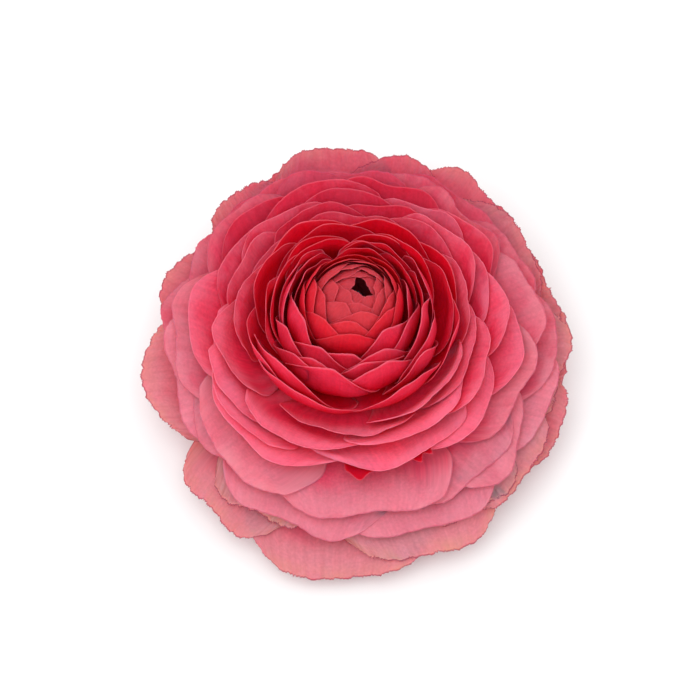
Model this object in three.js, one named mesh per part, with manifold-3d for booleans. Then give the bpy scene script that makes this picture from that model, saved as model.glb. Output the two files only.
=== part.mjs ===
// A double ranunculus bloom, cut just under its calyx and laid face up on a table.
//
// The bloom faces +Z, with its origin on the table under the middle of its outline. -Y is the
// front, where the outermost petals droop lowest. Lengths are in millimetres and angles in degrees.
//
// Every petal lies on one of a family of nested layers. A layer is a profile in the (r, z) half
// plane, drawn as a Bezier curve from the petals' root on the receptacle to their margin. The bud's
// layers are domes that close over the middle. The rest are cups, upright round the bud and more
// and more open until they droop. Each petal lies on a layer of its own, clear of the petals that
// it overlaps, and only its margin waves a little way out of that layer.

import * as THREE from "three";
import { mergeVertices } from "three/addons/utils/BufferGeometryUtils.js";
import Module from "manifold-3d";

const wasm = await Module();
wasm.setup();

// Driving dimensions
const BLADE = 0.6; // thickness of a petal in this model
const WHORL_STEP = 4; // layers from the last petal of a whorl to the first of the next
const OPEN_PITCH = 0.7; // from one open petal to the next that it overlaps
const FREE_FROM = 0.22; // share of a petal's length from which it stands clear of the others
const MOST_LENGTH = 1.08; // how far past a layer's mouth an open petal may reach
const SEAT_GAP = 0.35; // air between a whorl's collar and what carries it
const COLLAR_REACH = 0.16; // share of a profile that the collar at the petals' roots covers
const ROOT_PLACE = 0.1; // where a petal starts inside its collar, on the same scale
const COLLAR_MARGIN = 1.2; // layers that a collar covers past its innermost and outermost petal
const COLLAR_SIDES = 16;
const SIDE_CLEARANCE = 1; // degrees between petals that share a layer
const EYE_OFFSET = 2.2; // the bud's opening lies this far to the right of the bloom's axis
const EYE_REACH = 8; // radius over which the bud leans towards its opening
const STEM_RADIUS = 3.2;
const RECEPTACLE_TOP = 27.6;
const SEPAL_BLADE = 0.8;
const CARPEL_RADIUS = 3.4;
const CARPEL_HALF_HEIGHT = 5.4;
const CARPEL_MIDDLE = RECEPTACLE_TOP + SEAT_GAP + CARPEL_HALF_HEIGHT;
const GOLDEN_ANGLE = 137.508;

// The bud's domes, by layer number. A profile's four points are its root, rootHandle, rimHandle
// and rimPoint.
const DOMES = [
  {
    layer: 0,
    root: [2.4, 27.0],
    rootHandle: [8.8, 25.6],
    front: { rimHandle: [9.2, 42.2], rimPoint: [1.4, 42.5] },
    rear: { rimHandle: [9.2, 42.2], rimPoint: [1.4, 42.5] },
  },
  {
    layer: 12,
    root: [3.6, 25.0],
    rootHandle: [15.0, 23.2],
    front: { rimHandle: [16.2, 47.2], rimPoint: [1.4, 47.4] },
    rear: { rimHandle: [16.2, 47.2], rimPoint: [1.4, 47.4] },
  },
];

// The cups, from the one round the bud to the lowest. The bloom droops more in front than behind.
const CUPS = [
  {
    layer: 12,
    root: [3.8, 24.4],
    rootHandle: [15.0, 22.6],
    front: { rimHandle: [15.4, 34.5], rimPoint: [11.2, 40.4] },
    rear: { rimHandle: [15.4, 36.0], rimPoint: [11.2, 41.2] },
  },
  {
    layer: 17,
    root: [4.3, 23.4],
    rootHandle: [18.0, 20.9],
    front: { rimHandle: [20.0, 31.0], rimPoint: [16.4, 38.8] },
    rear: { rimHandle: [19.4, 33.5], rimPoint: [16.2, 40.4] },
  },
  {
    layer: 23,
    root: [4.8, 22.4],
    rootHandle: [21.0, 19.2],
    front: { rimHandle: [25.0, 27.6], rimPoint: [22.6, 36.4] },
    rear: { rimHandle: [24.3, 30.2], rimPoint: [22.4, 38.8] },
  },
  {
    layer: 27,
    root: [5.2, 21.4],
    rootHandle: [20.4, 17.8],
    front: { rimHandle: [25.0, 24.6], rimPoint: [25.6, 33.4] },
    rear: { rimHandle: [25.6, 28.4], rimPoint: [26.2, 37.2] },
  },
  {
    layer: 30,
    root: [5.4, 20.6],
    rootHandle: [20.0, 16.8],
    front: { rimHandle: [24.6, 20.6], rimPoint: [30.2, 26.4] },
    rear: { rimHandle: [26.4, 26.8], rimPoint: [29.0, 36.0] },
  },
  {
    layer: 34,
    root: [5.8, 19.6],
    rootHandle: [19.4, 15.4],
    front: { rimHandle: [25.6, 17.0], rimPoint: [33.8, 21.4] },
    rear: { rimHandle: [27.5, 24.6], rimPoint: [33.0, 34.1] },
  },
  {
    layer: 46,
    root: [6.4, 16.4],
    rootHandle: [20.0, 11.6],
    front: { rimHandle: [30.0, 14.6], rimPoint: [43.0, 13.2] },
    rear: { rimHandle: [31.7, 21.7], rimPoint: [43.0, 28.4] },
  },
  {
    layer: 57,
    root: [6.6, 13.4],
    rootHandle: [19.5, 7.6],
    front: { rimHandle: [41.5, 12.4], rimPoint: [53.0, 6.4] },
    rear: { rimHandle: [38.3, 18.6], rimPoint: [52.0, 22.6] },
  },
  {
    layer: 64,
    root: [6.5, 11.2],
    rootHandle: [18.0, 5.4],
    front: { rimHandle: [42.0, 8.6], rimPoint: [54.0, 3.2] },
    rear: { rimHandle: [38.0, 14.4], rimPoint: [52.0, 17.4] },
  },
];

// The sepals' own layer, bent back under the bloom as far as the table.
const CALYX = [0, 1].map((layer) => ({
  layer,
  root: [2.5, 7.8 - layer],
  rootHandle: [9.5, 7.0 - layer],
  front: { rimHandle: [15.5, 5.4 - layer], rimPoint: [16.0 - layer, 0.4] },
  rear: { rimHandle: [15.5, 5.4 - layer], rimPoint: [16.0 - layer, 0.4] },
}));

// Open petals, each a row of azimuth, outer radius and breadth. Azimuth 0 is +X and 270 the front.
const MIDDLE_PETALS = [
  [17, 27.5, 23],
  [315, 28.5, 28],
  [346, 29, 28],
  [267, 28.5, 28],
  [87, 27, 28],
  [236, 27.5, 28],
  [56, 28.5, 26],
  [132, 27, 26],
  [164, 27, 28],
  [303, 32.5, 29],
  [337, 34, 28],
  [118, 32, 28],
  [206, 34.5, 38],
  [26, 33, 24],
  [249, 33.5, 29],
  [90, 33.5, 28],
  [11, 36.5, 26],
  [143, 34, 26],
  [288, 36.5, 31],
  [323, 38, 28],
  [76, 37.5, 30],
  [232, 38, 32],
];
const OUTER_PETALS = [
  [344, 42, 30],
  [48, 40.5, 28],
  [272, 43.5, 40],
  [92, 41, 33],
  [180, 41.5, 33],
  [312, 44, 32],
  [199, 43.5, 36],
  [14, 44, 31],
  [254, 46.5, 40],
  [122, 42.5, 32],
  [291, 47.5, 36],
  [158, 44, 34],
  [339, 47.5, 32],
];
const GUARD_PETALS = [
  [324, 48.5, 31],
  [233, 49.5, 29],
  [36, 49, 31],
  [19, 49.5, 29],
  [337, 50, 31],
  [80, 49.5, 30],
  [356, 49.5, 29],
  [292, 52, 38],
  [157, 46, 35],
  [243, 46, 30],
  [267, 53, 38],
  [186, 48, 36],
  [52, 52, 35],
  [97, 49.5, 32],
  [126, 49, 28],
  [112, 47.5, 29],
  [310, 50.5, 32],
];

// Seeded random numbers from 0 to 1, the same in every run.
function seededRandom(seed) {
  let state = seed >>> 0;
  return () => {
    state = (state + 0x6d2b79f5) >>> 0;
    let t = state;
    t = Math.imul(t ^ (t >>> 15), t | 1);
    t ^= t + Math.imul(t ^ (t >>> 7), t | 61);
    return ((t ^ (t >>> 14)) >>> 0) / 4294967296;
  };
}

const radians = THREE.MathUtils.degToRad;
const clamp = THREE.MathUtils.clamp;
const mix = (a, b, t) => [a[0] + (b[0] - a[0]) * t, a[1] + (b[1] - a[1]) * t];

// Control points of a layer of the family, at an azimuth in radians.
function layerProfile(family, layer, azimuth) {
  let k = 1;
  while (k < family.length - 1 && family[k].layer < layer) k += 1;
  const inner = family[k - 1];
  const outer = family[k];
  const share = (layer - inner.layer) / (outer.layer - inner.layer);
  const front = (1 - Math.sin(azimuth)) / 2;
  return [
    mix(inner.root, outer.root, share),
    mix(inner.rootHandle, outer.rootHandle, share),
    mix(
      mix(inner.rear.rimHandle, inner.front.rimHandle, front),
      mix(outer.rear.rimHandle, outer.front.rimHandle, front),
      share,
    ),
    mix(
      mix(inner.rear.rimPoint, inner.front.rimPoint, front),
      mix(outer.rear.rimPoint, outer.front.rimPoint, front),
      share,
    ),
  ];
}

function profilePoint([root, rootHandle, rimHandle, rimPoint], s) {
  const q = 1 - s;
  const [a, b, c, d] = [q * q * q, 3 * q * q * s, 3 * q * s * s, s * s * s];
  return [
    a * root[0] + b * rootHandle[0] + c * rimHandle[0] + d * rimPoint[0],
    a * root[1] + b * rootHandle[1] + c * rimHandle[1] + d * rimPoint[1],
  ];
}

// Unit normal of a profile, on its outer side.
function profileNormal(points, s) {
  const before = profilePoint(points, s - 0.005);
  const after = profilePoint(points, s + 0.005);
  const along = new THREE.Vector2(after[0] - before[0], after[1] - before[1]).normalize();
  return [along.y, -along.x];
}

// Millimetres from a layer to the next one out, square to its profile.
function layerSpacing(family, layer, s, azimuth) {
  const points = layerProfile(family, layer, azimuth);
  const here = profilePoint(points, s);
  const next = profilePoint(layerProfile(family, layer + 1, azimuth), s);
  const normal = profileNormal(points, s);
  return Math.max((next[0] - here[0]) * normal[0] + (next[1] - here[1]) * normal[1], 0.1);
}

// The place along a profile that is nearest to a point in (r, z).
function nearestPlace(points, r, z) {
  const distance = (s) => {
    const [pr, pz] = profilePoint(points, s);
    return (pr - r) ** 2 + (pz - z) ** 2;
  };
  const STEP = 0.04;
  let best = 0;
  for (let s = 0; s <= 1.12; s += STEP) {
    if (distance(s) < distance(best)) best = s;
  }
  for (let reach = STEP / 2; reach > 0.001; reach /= 2) {
    for (const s of [best - reach, best + reach]) {
      if (distance(s) < distance(best)) best = s;
    }
  }
  return best;
}

// Half of a petal's breadth, as a share of its widest, at v from root to margin.
function breadthShare(v, claw) {
  const swell = Math.sin(Math.min(1, v / 0.72) * (Math.PI / 2)) ** 2.2;
  const shoulder = 1 - 0.1 * Math.max(0, (v - 0.72) / 0.28) ** 2;
  return (claw + (1 - claw) * swell) * shoulder;
}

// How far along its profile the petal's point (u, v) lies: round shoulders and a toothed margin.
function petalAlong(petal, u, v) {
  const margin = 1 - petal.roundness * Math.abs(u) ** petal.squareness;
  const frill = petal.frill * Math.sin(petal.teeth * u * Math.PI + petal.phase) * v ** 6;
  return ROOT_PLACE + v * (margin * petal.length - ROOT_PLACE) + frill;
}

// Where a petal's point (u, v) falls on its layer: the azimuth and the place along the profile.
// u runs from -1 to 1 across the petal, v from its root to its margin.
// A petal with a span wraps the bud and takes up that angle. An open one is laid out flat across
// its midline, and then follows its layer round.
function petalPlace(petal, u, v) {
  const middle = radians(petal.azimuth);
  const s = petalAlong(petal, u, v);
  const share = breadthShare(v, petal.claw) * u;
  const points = layerProfile(petal.family, petal.layer, middle);
  const [r, z] = profilePoint(points, s);
  if (petal.span) {
    const turn = radians(petal.span / 2) * share;
    return { azimuth: middle + turn, s };
  }
  const across = (petal.breadth / 2) * share;
  const [normalR, normalZ] = profileNormal(points, s);
  const bend = (across * normalR) / r;
  const side = Math.abs(bend) < 1e-6 ? across : (across * Math.sin(bend)) / bend;
  const out = r * Math.cos(bend);
  const drop = Math.abs(normalR) < 1e-6 ? 0 : (r / normalR) * normalZ * (1 - Math.cos(bend));
  const azimuth = middle + Math.atan2(side, out);
  const there = layerProfile(petal.family, petal.layer, azimuth);
  return { azimuth, s: nearestPlace(there, Math.hypot(side, out), z - drop) };
}

// How far a petal's margin waves in and out of its layer at v, in millimetres.
const waveHeight = (petal, v) => petal.wave * v ** 4;

// A point of space from a layer, an azimuth and a place along the profile. The bud leans towards
// its opening, and what lies beside it leans less with its distance.
function bloomPoint(family, { layer, azimuth, s }) {
  const [r, z] = profilePoint(layerProfile(family, layer, azimuth), s);
  const lean = EYE_OFFSET * Math.exp(-((r / EYE_REACH) ** 2)) * THREE.MathUtils.smoothstep(z, 30, 44);
  return new THREE.Vector3(r * Math.cos(azimuth) + lean, r * Math.sin(azimuth), z);
}

// Half of the angle, in degrees, that a petal takes up at v.
function halfAngle(petal, v) {
  const share = breadthShare(v, petal.claw);
  if (petal.span) return (petal.span / 2) * share;
  const points = layerProfile(petal.family, petal.layer, radians(petal.azimuth));
  const [r] = profilePoint(points, petalAlong(petal, 1, v));
  return THREE.MathUtils.radToDeg(Math.atan2((petal.breadth / 2) * share, r));
}

// How many layers apart two petals must lie, to clear each other wherever they overlap.
function layersApart(one, other) {
  const turn = Math.abs(((one.azimuth - other.azimuth + 540) % 360) - 180);
  let most = 0;
  for (let v = FREE_FROM; v <= 1; v += 0.1) {
    if (turn > halfAngle(one, v) + halfAngle(other, v) + SIDE_CLEARANCE) continue;
    const spacing = layerSpacing(CUPS, other.layer, petalAlong(other, 0, v), radians(other.azimuth));
    const room = OPEN_PITCH + waveHeight(one, v) + waveHeight(other, v);
    most = Math.max(most, room / spacing);
  }
  return most;
}

// Puts each petal on the innermost layer of a whorl where it clears all those placed before it.
function stack(rows, firstLayer) {
  const petals = [];
  for (const row of rows) {
    const petal = { ...row, layer: firstLayer };
    petal.length = placeAtRadius(petal);
    while (petals.some((other) => Math.abs(other.layer - petal.layer) < layersApart(petal, other))) {
      petal.layer += 0.25;
      petal.length = placeAtRadius(petal);
    }
    petals.push(petal);
  }
  return petals;
}

// The place along an open petal's layer where it reaches its outer radius.
function placeAtRadius(petal) {
  const points = layerProfile(petal.family, petal.layer, radians(petal.azimuth));
  let s = 0.5;
  while (s < MOST_LENGTH && profilePoint(points, s)[0] < petal.reach) s += 0.005;
  return s;
}

// A petal's middle surface as a grid of points.
function layPetal(petal) {
  return Array.from({ length: petal.alongSteps + 1 }, (_, j) =>
    Array.from({ length: petal.acrossSteps + 1 }, (_, i) => {
      const u = -1 + (2 * i) / petal.acrossSteps;
      const v = j / petal.alongSteps;
      const place = petalPlace(petal, u, v);
      const spacing = layerSpacing(petal.family, petal.layer, place.s, place.azimuth);
      const offset = waveHeight(petal, v) * Math.sin(petal.waves * Math.PI * u + petal.phase);
      return bloomPoint(petal.family, { ...place, layer: petal.layer + offset / spacing });
    }),
  );
}

// A closed blade round a grid of points, split into triangles alike on both faces.
function bladeGeometry(grid, thickness) {
  const rows = grid.length;
  const columns = grid[0].length;
  const positions = [];
  const faces = [];
  const at = (j, i) => grid[clamp(j, 0, rows - 1)][clamp(i, 0, columns - 1)];
  for (const side of [1, -1]) {
    for (let j = 0; j < rows; j += 1) {
      for (let i = 0; i < columns; i += 1) {
        const across = at(j, i + 1).clone().sub(at(j, i - 1));
        const along = at(j + 1, i).clone().sub(at(j - 1, i));
        const normal = across.cross(along).normalize();
        positions.push(...at(j, i).clone().addScaledVector(normal, (side * thickness) / 2).toArray());
      }
    }
  }
  const index = (side, j, i) => side * rows * columns + j * columns + i;
  for (let j = 0; j < rows - 1; j += 1) {
    for (let i = 0; i < columns - 1; i += 1) {
      const [a, b, c, d] = [[j, i], [j, i + 1], [j + 1, i + 1], [j + 1, i]];
      const top = [a, b, c, d].map(([row, column]) => index(0, row, column));
      const under = [a, b, c, d].map(([row, column]) => index(1, row, column));
      faces.push(top[0], top[1], top[2], top[0], top[2], top[3]);
      faces.push(under[0], under[2], under[1], under[0], under[3], under[2]);
    }
  }
  const edge = [];
  for (let i = 0; i < columns - 1; i += 1) edge.push([0, i]);
  for (let j = 0; j < rows - 1; j += 1) edge.push([j, columns - 1]);
  for (let i = columns - 1; i > 0; i -= 1) edge.push([rows - 1, i]);
  for (let j = rows - 1; j > 0; j -= 1) edge.push([j, 0]);
  edge.forEach((here, n) => {
    const next = edge[(n + 1) % edge.length];
    const [a, b] = [index(0, ...here), index(0, ...next)];
    const [c, d] = [index(1, ...next), index(1, ...here)];
    faces.push(a, d, c, a, c, b);
  });
  const geometry = new THREE.BufferGeometry();
  geometry.setAttribute("position", new THREE.Float32BufferAttribute(positions, 3));
  geometry.setIndex(faces);
  return geometry;
}

// A closed geometry as a solid for joining and cutting.
function solidOf(geometry) {
  const bare = geometry.clone();
  bare.deleteAttribute("normal");
  bare.deleteAttribute("uv");
  const merged = mergeVertices(bare, 1e-4);
  return new wasm.Manifold(
    new wasm.Mesh({
      numProp: 3,
      vertProperties: new Float32Array(merged.attributes.position.array),
      triVerts: new Uint32Array(merged.index.array),
    }),
  );
}

// A solid's largest body as a geometry, without the loose scraps that crossing blades leave.
function geometryOf(solid) {
  const whole = solid.decompose().sort((a, b) => b.volume() - a.volume())[0];
  const mesh = whole.getMesh();
  const geometry = new THREE.BufferGeometry();
  geometry.setAttribute("position", new THREE.BufferAttribute(mesh.vertProperties, 3));
  geometry.setIndex(new THREE.BufferAttribute(mesh.triVerts, 1));
  return geometry;
}

function joined(geometries) {
  return geometryOf(geometries.map(solidOf).reduce((sum, solid) => sum.add(solid)));
}

// A closed ring or dome turned about +Z from a profile in (r, z).
function turned(profile, sides) {
  const points = profile.map(([r, z]) => new THREE.Vector2(r, z));
  return new THREE.LatheGeometry(points, sides).rotateX(Math.PI / 2);
}

// The collar that a whorl's petals grow from: the space between two layers near their roots.
function collar(family, innerLayer, outerLayer) {
  const side = (layer) =>
    [0, 0.5, 1].map((k) => profilePoint(layerProfile(family, layer, 0), k * COLLAR_REACH));
  const inner = side(innerLayer - COLLAR_MARGIN).reverse();
  const outer = side(outerLayer + COLLAR_MARGIN);
  return turned([...outer, ...inner, outer[0]], COLLAR_SIDES);
}

const petalDefaults = {
  acrossSteps: 4,
  alongSteps: 5,
  claw: 0.12,
  roundness: 0.24,
  squareness: 3,
  length: 1,
  wave: 0,
  waves: 1.6,
  frill: 0,
  teeth: 2,
  phase: 0,
};

// A whorl of petals, fused at their roots in one collar that fills the layers between them.
function whorl(petals) {
  const { family } = petals[0];
  const layers = petals.map((petal) => petal.layer);
  const blades = petals.map((petal) => bladeGeometry(layPetal(petal), BLADE));
  return joined([collar(family, Math.min(...layers), Math.max(...layers)), ...blades]);
}

// Petals spaced by the golden angle, each on a layer further out than the last.
function spiralPetals({ count, firstAzimuth, layers, spans, lengths, ...form }) {
  return Array.from({ length: count }, (_, k) => {
    const share = k / (count - 1);
    return {
      ...petalDefaults,
      azimuth: (firstAzimuth + k * GOLDEN_ANGLE) % 360,
      layer: THREE.MathUtils.lerp(...layers, share),
      span: THREE.MathUtils.lerp(...spans, share),
      length: THREE.MathUtils.lerp(...lengths, share),
      ...form,
    };
  });
}

// Petals placed by hand, from the innermost out.
function placedPetals(rows, seed, form) {
  const random = seededRandom(seed);
  return [...rows]
    .sort((a, b) => a[1] - b[1])
    .map(([azimuth, reach, breadth]) => {
      const phase = random() * 2 * Math.PI;
      return { ...petalDefaults, azimuth, reach, breadth, phase, family: CUPS, ...form };
    });
}

// The first layer outside a whorl that leaves room for the two collars.
const nextWhorl = (petals) => Math.max(...petals.map((petal) => petal.layer)) + WHORL_STEP;

const PETAL_PINKS = {
  bud: 0xc63a49,
  cup: 0xcc1f3c,
  middle: 0xd93f5b,
  outer: 0xdb6a80,
  guard: 0xdf8a92,
};
const STEM_GREEN = 0x6f8a45;
const CARPEL_DARK = 0x1d1220;

const bloom = new THREE.Group();

function addNode(name, geometry, colour, roughness) {
  const material = new THREE.MeshStandardMaterial({ color: colour, roughness, metalness: 0 });
  const mesh = new THREE.Mesh(geometry, material);
  mesh.name = name;
  bloom.add(mesh);
}

const WRAP_FORM = { acrossSteps: 6, claw: 0.2 };
const budPetals = spiralPetals({
  ...WRAP_FORM,
  family: DOMES,
  count: 12,
  firstAzimuth: 250,
  layers: [0.5, 11],
  spans: [118, 98],
  lengths: [1.0, 0.64],
  roundness: 0.16,
});
const cupPetals = spiralPetals({
  ...WRAP_FORM,
  family: CUPS,
  count: 17,
  firstAzimuth: 20,
  layers: [12.5, 23.5],
  spans: [96, 82],
  lengths: [1, 1],
  roundness: 0.3,
  squareness: 2.1,
});
const middlePetals = stack(placedPetals(MIDDLE_PETALS, 3, { wave: 0.2 }), nextWhorl(cupPetals));
const outerPetals = stack(
  placedPetals(OUTER_PETALS, 5, { acrossSteps: 5, wave: 0.3 }),
  nextWhorl(middlePetals),
);
const guardPetals = stack(
  placedPetals(GUARD_PETALS, 7, { acrossSteps: 6, wave: 0.4, frill: 0.012 }),
  nextWhorl(outerPetals),
);

addNode("bud_petals", whorl(budPetals), PETAL_PINKS.bud, 0.6);
addNode("cup_petals", whorl(cupPetals), PETAL_PINKS.cup, 0.6);
addNode("middle_petals", whorl(middlePetals), PETAL_PINKS.middle, 0.6);
addNode("outer_petals", whorl(outerPetals), PETAL_PINKS.outer, 0.6);
addNode("guard_petals", whorl(guardPetals), PETAL_PINKS.guard, 0.6);

// The stub of stem widens into the receptacle, a dome that the collars sit round. Five sepals
// grow from under it.
const seat = (family, layer) => {
  const [r, z] = profilePoint(layerProfile(family, layer, 0), 0);
  return [r - SEAT_GAP, z];
};
const stemOutline = [
  [0, 0],
  [STEM_RADIUS, 0],
  [STEM_RADIUS, 5.6],
  [5.2, 8.2],
  ...[64, 57, 46, 34, 27, 23, 17, 12].map((layer) => seat(CUPS, layer)),
  seat(DOMES, 0),
  [0, RECEPTACLE_TOP],
];
const sepals = Array.from({ length: 5 }, (_, k) => ({
  ...petalDefaults,
  family: CALYX,
  layer: 0,
  azimuth: 18 + 72 * k,
  breadth: 11,
  claw: 0.5,
  roundness: 0.35,
  squareness: 1.8,
}));
const sepalBlades = sepals.map((sepal) => bladeGeometry(layPetal(sepal), SEPAL_BLADE));
addNode("stem_and_sepals", joined([turned(stemOutline, 20), ...sepalBlades]), STEM_GREEN, 0.7);

// The head of carpels under the bud's opening, bristling in spirals with their dark tips.
function carpelHead() {
  const RINGS = 9;
  const SIDES = 16;
  const outline = Array.from({ length: RINGS + 1 }, (_, k) => {
    const turn = (k / RINGS) * Math.PI;
    const bristle = k % 2 && k < RINGS ? 1.12 : 1;
    return [CARPEL_RADIUS * Math.sin(turn) * bristle, CARPEL_MIDDLE - CARPEL_HALF_HEIGHT * Math.cos(turn)];
  });
  const head = turned(outline, SIDES);
  const position = head.attributes.position;
  for (let i = 0; i < position.count; i += 1) {
    const azimuth = Math.atan2(position.getY(i), position.getX(i));
    const swell = 1 + 0.08 * Math.cos(8 * azimuth + position.getZ(i));
    position.setX(i, position.getX(i) * swell);
    position.setY(i, position.getY(i) * swell);
  }
  return head;
}
addNode("carpels", joined([carpelHead()]), CARPEL_DARK, 0.5);

// The petals are laid out round the stem. The origin goes under the middle of their outline.
const outline = new THREE.Box3().setFromObject(bloom).getCenter(new THREE.Vector3());
bloom.children.forEach((mesh) => mesh.geometry.translate(-outline.x, -outline.y, 0));

export default bloom;
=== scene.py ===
# %% [markdown]
# # A double ranunculus bloom
# The flower is one closed bud inside ring after ring of thin petals. Every petal is a soft sheet a
# fifth of a millimetre thick, and the look of the bloom comes from how those sheets nest, where
# their margins catch the light, and how the colour fades from a deep root to a pale margin.
# The CAD model already holds the flower's size and layering, so we load it first, and then replace
# each whorl of its thick petals by fine ones laid on the same layers.

import math

import bpy
import numpy as np
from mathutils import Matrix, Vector


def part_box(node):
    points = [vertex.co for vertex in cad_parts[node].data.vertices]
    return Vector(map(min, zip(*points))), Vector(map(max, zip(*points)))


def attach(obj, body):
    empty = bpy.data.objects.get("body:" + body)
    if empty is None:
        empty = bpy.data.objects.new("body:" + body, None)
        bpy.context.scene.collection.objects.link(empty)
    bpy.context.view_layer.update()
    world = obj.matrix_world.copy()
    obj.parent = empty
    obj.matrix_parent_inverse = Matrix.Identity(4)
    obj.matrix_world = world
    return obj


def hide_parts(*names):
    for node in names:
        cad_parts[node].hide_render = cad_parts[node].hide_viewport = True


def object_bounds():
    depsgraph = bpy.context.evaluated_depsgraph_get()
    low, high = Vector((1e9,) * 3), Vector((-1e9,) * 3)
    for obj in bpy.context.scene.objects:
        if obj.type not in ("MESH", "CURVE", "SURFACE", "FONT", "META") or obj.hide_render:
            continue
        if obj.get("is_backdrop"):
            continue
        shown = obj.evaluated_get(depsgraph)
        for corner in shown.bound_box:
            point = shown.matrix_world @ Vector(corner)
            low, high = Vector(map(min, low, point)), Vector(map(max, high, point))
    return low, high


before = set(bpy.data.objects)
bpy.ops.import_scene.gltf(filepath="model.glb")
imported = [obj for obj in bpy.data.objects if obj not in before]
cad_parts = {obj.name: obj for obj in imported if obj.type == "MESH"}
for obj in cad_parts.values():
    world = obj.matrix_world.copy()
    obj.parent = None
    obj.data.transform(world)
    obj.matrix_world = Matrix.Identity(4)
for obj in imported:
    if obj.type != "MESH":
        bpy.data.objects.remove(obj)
cad_low, cad_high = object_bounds()
carpels_low, carpels_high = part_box("carpels")
BLOOM_AXIS = (carpels_low + carpels_high) / 2
MM = 0.001  # a millimetre, in Blender's metres
DETAIL = 1.0  # share of the grid lines of each petal
print("nodes in the frame:", sorted(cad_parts))
print("bloom's axis, mm:", round(BLOOM_AXIS.x / MM, 2), round(BLOOM_AXIS.y / MM, 2))

# %% [markdown]
# ## The layers that the petals lie on
# A ranunculus packs its petals like the leaves of a cabbage: each lies on a surface that nests in
# the next one out. We could sculpt 150 petals by hand, but then nothing would keep them apart.
# Drawing the nested surfaces once, and laying every petal on its own, keeps the order by itself.
# A layer is a Bezier curve in (r, z), millimetres from the axis and above the table. It goes from
# a petal's root to its margin, and differs between front and rear, as the front droops lower.

# %% Families of nested layers


def family(rows):
    """Rows of layer, root, root handle, and rim handle and rim in front, and behind if it differs."""
    return {
        "layers": np.array([row[0] for row in rows], float),
        "front": np.array([[row[1], row[2], *row[3]] for row in rows], float),
        "rear": np.array([[row[1], row[2], *row[-1]] for row in rows], float),
    }


# The closed bud: domes that meet over the carpels.
DOMES = family([
    (0, (2.4, 27.0), (8.8, 25.6), ((9.2, 42.2), (1.4, 42.5))),
    (12, (3.6, 25.0), (15.0, 23.2), ((16.2, 47.2), (1.4, 47.4))),
])

# The cups round it, from the steepest to the one that droops lowest.
CUPS = family([
    (12, (3.8, 24.4), (15.0, 22.6), ((15.4, 34.5), (11.2, 40.4)), ((15.4, 36.0), (11.2, 41.2))),
    (17, (4.3, 23.4), (18.0, 20.9), ((20.0, 31.0), (16.4, 38.8)), ((19.4, 33.5), (16.2, 40.4))),
    (23, (4.8, 22.4), (21.0, 19.2), ((25.0, 27.6), (22.6, 36.4)), ((24.3, 30.2), (22.4, 38.8))),
    (27, (5.2, 21.4), (20.4, 17.8), ((25.0, 24.6), (25.6, 33.4)), ((25.6, 28.4), (26.2, 37.2))),
    (30, (5.4, 20.6), (20.0, 16.8), ((24.6, 20.6), (30.2, 26.4)), ((26.4, 26.8), (29.0, 36.0))),
    (34, (5.8, 19.6), (19.4, 15.4), ((25.6, 17.0), (33.8, 21.4)), ((27.5, 24.6), (33.0, 34.1))),
    (46, (6.4, 16.4), (20.0, 11.6), ((30.0, 14.6), (43.0, 13.2)), ((31.7, 21.7), (43.0, 28.4))),
    (57, (6.6, 13.4), (19.5, 7.6), ((41.5, 12.4), (53.0, 6.4)), ((38.3, 18.6), (52.0, 22.6))),
    (64, (6.5, 11.2), (18.0, 5.4), ((42.0, 8.6), (54.0, 3.2)), ((38.0, 14.4), (52.0, 17.4))),
])

# The green sepals, bent back under the bloom as far as the table.
CALYX = family([
    (0, (2.5, 7.8), (9.5, 7.0), ((15.5, 5.4), (16.0, 0.4))),
    (1, (2.5, 6.8), (9.5, 6.0), ((15.5, 4.4), (15.0, 0.4))),
])
print("rows of layers listed:", [len(layers["layers"]) for layers in (DOMES, CUPS, CALYX)])

# %% [markdown]
# ## Between the listed layers
# A petal may lie between two listed layers, at any azimuth. A row for every case would make a
# long table. Mixing the two nearest rows, and front with rear, gives them all from a few.

# %% Points and normals of a layer


def profile(layers, layer, azimuth):
    """Four control points of a layer, at an azimuth in radians. Both may be arrays."""
    layer, azimuth = np.broadcast_arrays(np.asarray(layer, float), azimuth)
    steps = layers["layers"]
    k = np.clip(np.searchsorted(steps, layer) - 1, 0, len(steps) - 2)
    share = ((layer - steps[k]) / (steps[k + 1] - steps[k]))[..., None, None]
    front = ((1 - np.sin(azimuth)) / 2)[..., None, None]
    inner = layers["rear"][k] * (1 - front) + layers["front"][k] * front
    outer = layers["rear"][k + 1] * (1 - front) + layers["front"][k + 1] * front
    return inner * (1 - share) + outer * share


def on_profile(points, s):
    """The points at a share s of the way along profiles."""
    q = 1 - s
    weights = np.stack([q**3, 3 * q * q * s, 3 * q * s * s, s**3], -1)
    return (weights[..., None] * points).sum(-2)


def outward(points, s):
    """Unit normal of a profile, on its outer side."""
    q = 1 - s
    weights = np.stack([-3 * q * q, 3 * q * q - 6 * q * s, 6 * q * s - 3 * s * s, 3 * s * s], -1)
    along = (weights[..., None] * points).sum(-2)
    along /= np.linalg.norm(along, axis=-1, keepdims=True)
    return np.stack([along[..., 1], -along[..., 0]], -1)


def spacing(layers, layer, s, azimuth):
    """Millimetres from a layer to the next one out, square to its profile."""
    points = profile(layers, layer, azimuth)
    step = on_profile(profile(layers, np.asarray(layer) + 1, azimuth), s) - on_profile(points, s)
    return np.maximum((step * outward(points, s)).sum(-1), 0.1)


def layer_normals(layers, layer, azimuth, s):
    """Unit normals of a layer in space, on its outer side."""
    normal_r, normal_z = np.moveaxis(outward(profile(layers, layer, azimuth), s), -1, 0)
    return np.stack([normal_r * np.cos(azimuth), normal_r * np.sin(azimuth), normal_z], -1)


rim = on_profile(profile(CUPS, np.array([12.0, 34.0, 57.0]), -math.pi / 2), np.ones(3))
print("front rims of three cups, mm (r, z):", rim.round(1).tolist())

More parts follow.
